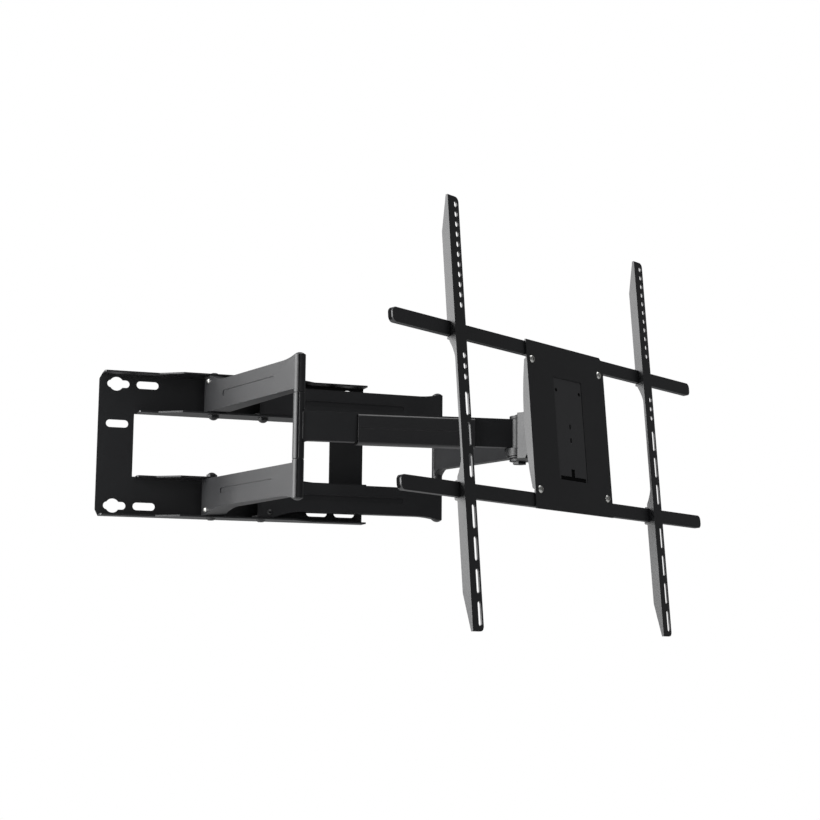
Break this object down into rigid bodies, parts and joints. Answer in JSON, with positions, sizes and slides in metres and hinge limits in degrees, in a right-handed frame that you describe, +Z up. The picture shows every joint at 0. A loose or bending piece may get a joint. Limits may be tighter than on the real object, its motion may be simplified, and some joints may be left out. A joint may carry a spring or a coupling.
{
  "type": "television wall mount",
  "caption": "Full-motion television wall mount: slotted wall plate, folding channel arms, swivelling and tilting head, and a bar frame with sliding screen uprights.",
  "frame": {"origin": "centre of the wall plate's fixing slots, on the wall", "axes": "+X along the wall to the right as seen from the room, +Y into the wall, +Z up"},
  "size_m": [0.9284, 0.6443, 0.582],
  "materials": {
    "black_steel": "satin black powder coat",
    "zinc_steel": "bright zinc plate",
    "black_plastic": "matt black",
    "nylon": "dark nylon"
  },
  "bodies": {
    "wall_plate": {"wall_plate": "black_steel", "hinge_bolts_a": "black_steel", "hinge_nuts_a": "black_steel", "hinge_bolts_b": "black_steel", "hinge_nuts_b": "black_steel"},
    "arm_a": {"arm_a_upper_channel": "black_steel", "arm_a_lower_channel": "black_steel", "arm_a_hinge_bushes": "nylon", "arm_a_stop_screws": "zinc_steel", "elbow_a_pin": "black_steel"},
    "forearm_a": {"forearm_a_knuckle": "black_steel", "forearm_a_beam": "black_steel", "forearm_a_cable_cover": "black_plastic", "elbow_a_washers": "nylon", "head_pivot_washers": "nylon"},
    "arm_b": {"arm_b_upper_channel": "black_steel", "arm_b_lower_channel": "black_steel", "arm_b_hinge_bushes": "nylon", "arm_b_stop_screws": "black_steel", "elbow_b_pin": "black_steel"},
    "forearm_b": {"forearm_b_knuckle": "black_steel", "forearm_b_beam": "black_steel", "elbow_b_washers": "nylon"},
    "head_pin": {"head_pivot_bolt": "black_steel", "head_pivot_nut": "black_steel", "head_friction_disc": "black_steel"},
    "swivel_head": {"swivel_yoke": "black_steel", "tilt_bolt": "black_steel", "tilt_nut": "black_steel"},
    "tilt_frame": {"tilt_friction_washers": "nylon", "hanger_plate": "black_steel", "hanger_stop": "black_plastic", "centre_plate": "black_steel", "corner_bolts": "zinc_steel", "corner_nuts": "zinc_steel", "upper_bar": "black_steel", "lower_bar": "black_steel", "bar_end_caps": "black_plastic"},
    "left_rail": {"left_upright": "black_steel", "left_upright_hooks": "black_steel", "left_lock_screws": "zinc_steel"},
    "right_rail": {"right_upright": "black_steel", "right_upright_hooks": "black_steel", "right_lock_screws": "zinc_steel"}
  },
  "joints": [
    {"name": "arm_a_swing", "type": "hinge", "parent": "wall_plate", "child": "arm_a", "pos_m": [-0.04, -0.035, 0], "axis": [0, 0, -1], "range_deg": [-4, 95]},
    {"name": "elbow_a_turn", "type": "hinge", "parent": "arm_a", "child": "forearm_a", "pos_m": [0.02435, -0.3229, 0], "axis": [0, 0, 1], "range_deg": [-4.27, 90.12]},
    {"name": "arm_b_swing", "type": "hinge", "parent": "wall_plate", "child": "arm_b", "pos_m": [0.04, -0.035, 0], "axis": [0, 0, 1], "range_deg": [-20.57, 1.34]},
    {"name": "elbow_b_turn", "type": "hinge", "parent": "arm_b", "child": "forearm_b", "pos_m": [0.33499, -0.03294, 0], "axis": [0, 0, 1], "range_deg": [-70.97, 3.47]},
    {"name": "head_pin_turn", "type": "hinge", "parent": "forearm_a", "child": "head_pin", "pos_m": [0.34838, -0.35867, 0], "axis": [0, 0, 1], "range_deg": [-28.13, 1.66]},
    {"name": "head_swivel", "type": "hinge", "parent": "head_pin", "child": "swivel_head", "pos_m": [0.34838, -0.35867, 0], "axis": [0, 0, 1], "range_deg": [-38, 8]},
    {"name": "head_tilt", "type": "hinge", "parent": "swivel_head", "child": "tilt_frame", "pos_m": [0.37752, -0.40353, 0], "axis": [0.8387, 0.5446, 0], "range_deg": [-3, 17]},
    {"name": "left_upright_slide", "type": "slide", "parent": "tilt_frame", "child": "left_rail", "axis": [0.8387, 0.5446, 0], "range_m": [-0.1, 0.13]},
    {"name": "right_upright_slide", "type": "slide", "parent": "tilt_frame", "child": "right_rail", "axis": [0.8387, 0.5446, 0], "range_m": [-0.1, 0.12]}
  ],
  "couplings": [
    {"joint": "elbow_a_turn", "follows": "arm_a_swing", "ratio": 0.9434},
    {"joint": "arm_b_swing", "follows": "arm_a_swing", "ratio": -0.2113},
    {"joint": "elbow_b_turn", "follows": "arm_a_swing", "ratio": -0.7418},
    {"joint": "head_pin_turn", "follows": "arm_a_swing", "ratio": -0.2908}
  ]
}
